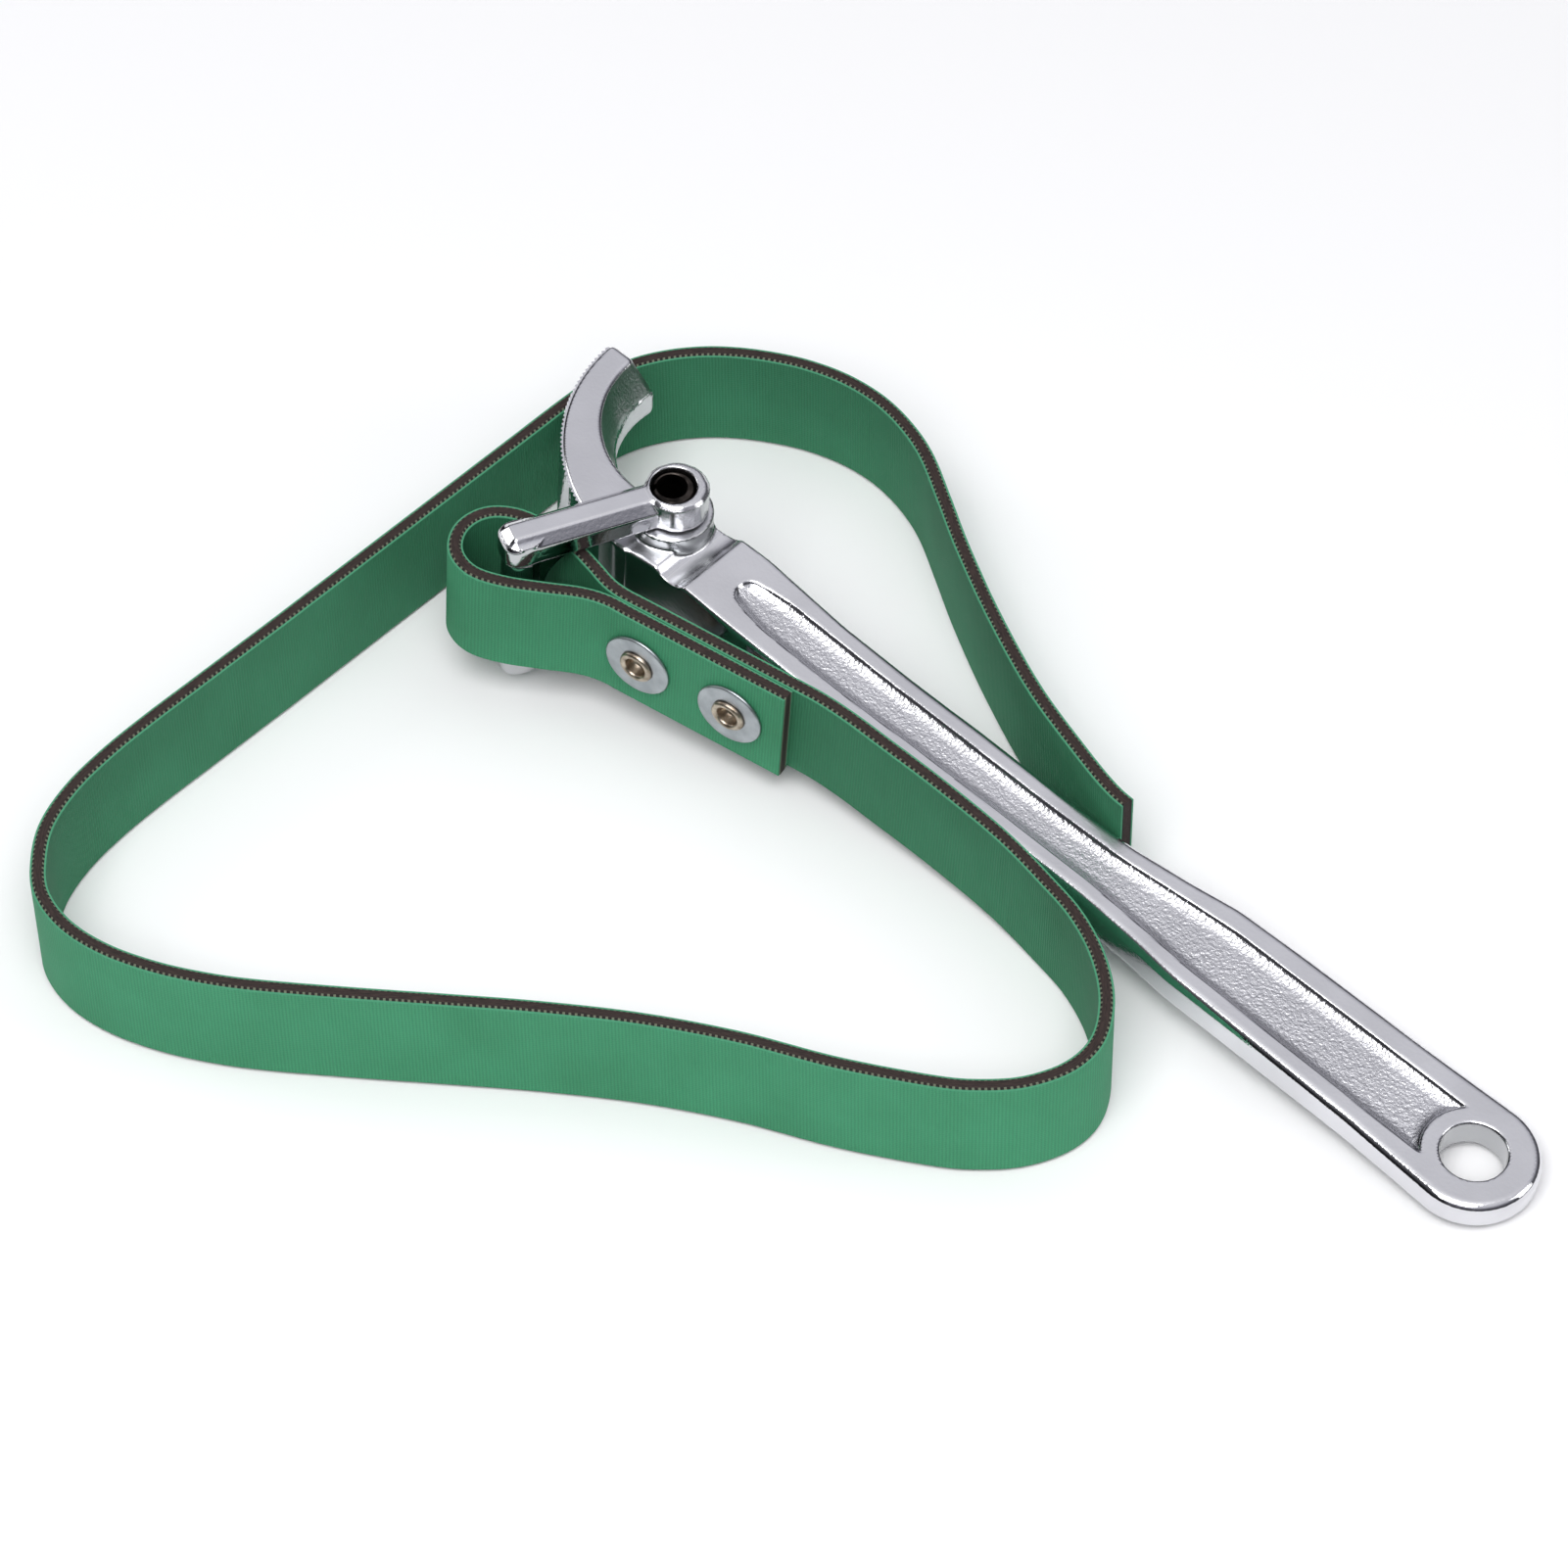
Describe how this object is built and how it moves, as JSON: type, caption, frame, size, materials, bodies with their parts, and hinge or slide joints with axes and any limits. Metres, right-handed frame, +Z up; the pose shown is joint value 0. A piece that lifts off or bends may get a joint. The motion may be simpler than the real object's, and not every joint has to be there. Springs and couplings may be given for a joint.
{
  "type": "oil filter strap wrench",
  "caption": "Forged handle with a fixed hook and a swinging shackle, and a laminated belt that is riveted round the shackle's bar and wraps the filter.",
  "frame": {"origin": "centre of the bounding box in plan, at the table", "axes": "+X along the handle from its head towards the hanging hole, +Y from the belt's filter loop across the handle, +Z up from the table the wrench lies on"},
  "size_m": [0.2708, 0.2161, 0.0454],
  "materials": {
    "handle_chrome": "satin chrome plate over a drop forging",
    "shackle_chrome": "satin chrome plate over a drop forging",
    "pin_black": "black spring steel, lightly oiled",
    "belt_green": "matt green rubbered fabric",
    "belt_core": "dark brown bonded plies, cut edge",
    "rivet_nickel": "dull nickel plate",
    "washer_steel": "plain plated steel"
  },
  "bodies": {
    "handle": {"handle": "handle_chrome"},
    "shackle": {"shackle": "shackle_chrome", "pivot_pin": "pin_black"},
    "belt_loop": {"loop_core": "belt_core", "loop_outer_face": "belt_green", "loop_inner_face": "belt_green", "rivet_1": "rivet_nickel", "rivet_2": "rivet_nickel", "front_washer_1": "washer_steel", "front_washer_2": "washer_steel", "back_washer_1": "washer_steel", "back_washer_2": "washer_steel"},
    "belt_front": {"front_core": "belt_core", "front_outer_face": "belt_green", "front_inner_face": "belt_green"},
    "belt_back": {"back_core": "belt_core", "back_outer_face": "belt_green", "back_inner_face": "belt_green"},
    "belt_tail": {"tail_core": "belt_core", "tail_outer_face": "belt_green", "tail_inner_face": "belt_green"}
  },
  "joints": [
    {"name": "shackle_swing", "type": "hinge", "parent": "handle", "child": "shackle", "pos_m": [-0.0895, 0.0454, 0.02225], "axis": [0.0837, 0, 0.9965], "range_deg": [-1, 18]},
    {"name": "loop_swing", "type": "hinge", "parent": "shackle", "child": "belt_loop", "pos_m": [-0.10303, 0.01532, 0.02339], "axis": [0.0837, 0, 0.9965], "range_deg": [-22.4, 1.3]},
    {"name": "front_flex", "type": "hinge", "parent": "belt_loop", "child": "belt_front", "pos_m": [0.0255, 0.0303, 0.0125], "axis": [0, 0, 1], "range_deg": [-0.6, 0.1]},
    {"name": "back_flex", "type": "hinge", "parent": "belt_front", "child": "belt_back", "pos_m": [-0.1229, -0.0988, 0.0125], "axis": [0, 0, 1], "range_deg": [-0.4, 5]},
    {"name": "tail_flex", "type": "hinge", "parent": "belt_back", "child": "belt_tail", "pos_m": [-0.1335, -0.0146, 0.0125], "axis": [0, 0, 1], "range_deg": [0, 25], "stiffness_Nm_per_rad": 0.03}
  ],
  "couplings": [
    {"joint": "loop_swing", "follows": "shackle_swing", "ratio": -1.2395},
    {"joint": "front_flex", "follows": "shackle_swing", "ratio": -0.0308},
    {"joint": "back_flex", "follows": "shackle_swing", "ratio": 0.2703}
  ]
}
